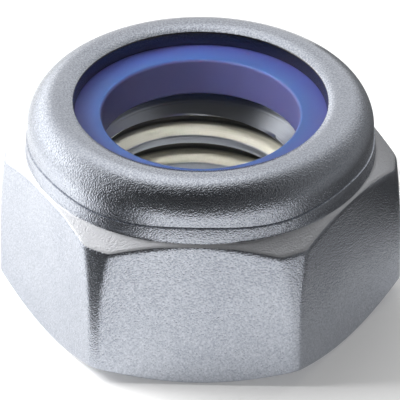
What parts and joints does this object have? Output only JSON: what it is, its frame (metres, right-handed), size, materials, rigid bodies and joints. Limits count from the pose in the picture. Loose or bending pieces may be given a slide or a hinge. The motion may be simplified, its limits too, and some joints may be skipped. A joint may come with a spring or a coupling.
{
  "type": "nylon insert lock nut",
  "caption": "Steel hexagon nut with a rounded collar whose crimped lip holds a blue nylon ring above the thread, so the nut grips its bolt and doesn't shake loose.",
  "frame": {"origin": "centre of the flat bearing face, on the thread axis", "axes": "+Z along the thread axis from the bearing face to the collar; two corners of the hexagon on X, two flats facing +Y and -Y"},
  "size_m": [0.0214, 0.0188, 0.012],
  "materials": {
    "zinc_steel": "bright zinc plating over tumbled, cold-formed steel: satin, fine grained",
    "blue_nylon": "moulded blue nylon, semi-gloss"
  },
  "bodies": {
    "root": {"nut_body": "zinc_steel", "nylon_insert": "blue_nylon"}
  },
  "joints": []
}
